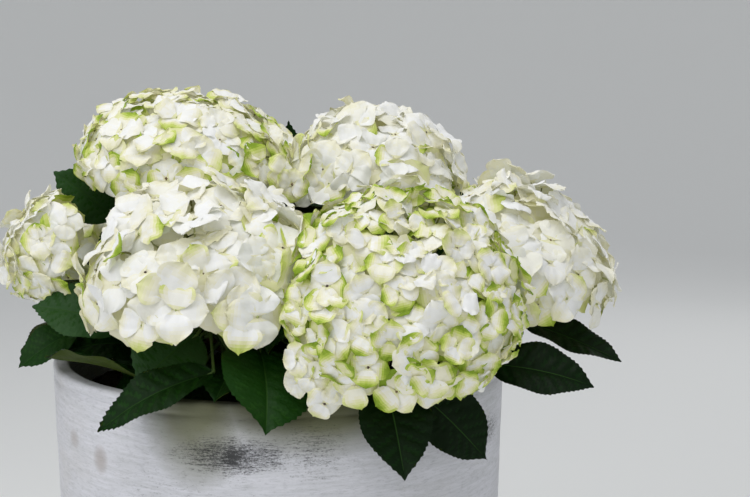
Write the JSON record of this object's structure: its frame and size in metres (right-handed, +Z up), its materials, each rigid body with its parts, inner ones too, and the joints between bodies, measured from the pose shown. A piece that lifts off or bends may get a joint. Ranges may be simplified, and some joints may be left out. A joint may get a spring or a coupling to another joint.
{
  "type": "potted hydrangea shrub",
  "caption": "Low domed mophead hydrangea in a round whitewashed pot, with white flower heads tinged lime green over dark toothed leaves.",
  "frame": {"origin": "middle of the flat underside of the pot", "axes": "+Z up along the axis of the pot, the front of the pot toward -Y"},
  "size_m": [0.5386, 0.5067, 0.621],
  "materials": {
    "pot": "whitewashed, matt, brushed and faintly stained",
    "soil": "crumbly",
    "bark": "rough, matt",
    "leaf": "satin, veined",
    "petal_white": "soft matt",
    "petal_cream": "soft matt",
    "petal_lime": "soft matt"
  },
  "bodies": {
    "root": {"pot": "pot", "soil": "soil", "stem_foot": "bark", "cane_front_left": "bark", "cane_front_right": "bark", "cane_top_left": "bark", "cane_side_left": "bark", "cane_top_right": "bark", "cane_side_right": "bark", "cane_rear_right": "bark", "cane_back_right": "bark", "cane_back_left": "bark", "cane_rear_left": "bark", "cane_middle_front": "bark", "cane_middle_back": "bark", "leaves_front_left": "leaf", "leaves_front_right": "leaf", "leaves_top_left": "leaf", "leaves_side_left": "leaf", "leaves_top_right": "leaf", "leaves_side_right": "leaf", "leaves_rear_right": "leaf", "leaves_back_right": "leaf", "leaves_back_left": "leaf", "leaves_rear_left": "leaf", "leaves_middle_front": "leaf", "leaves_middle_back": "leaf", "bloom_front_left": "petal_white", "bloom_front_right": "petal_lime", "bloom_top_left": "petal_cream", "bloom_side_left": "petal_white", "bloom_top_right": "petal_white", "bloom_side_right": "petal_white", "bloom_rear_right": "petal_cream", "bloom_back_right": "petal_white", "bloom_back_left": "petal_cream", "bloom_rear_left": "petal_white"}
  },
  "joints": []
}
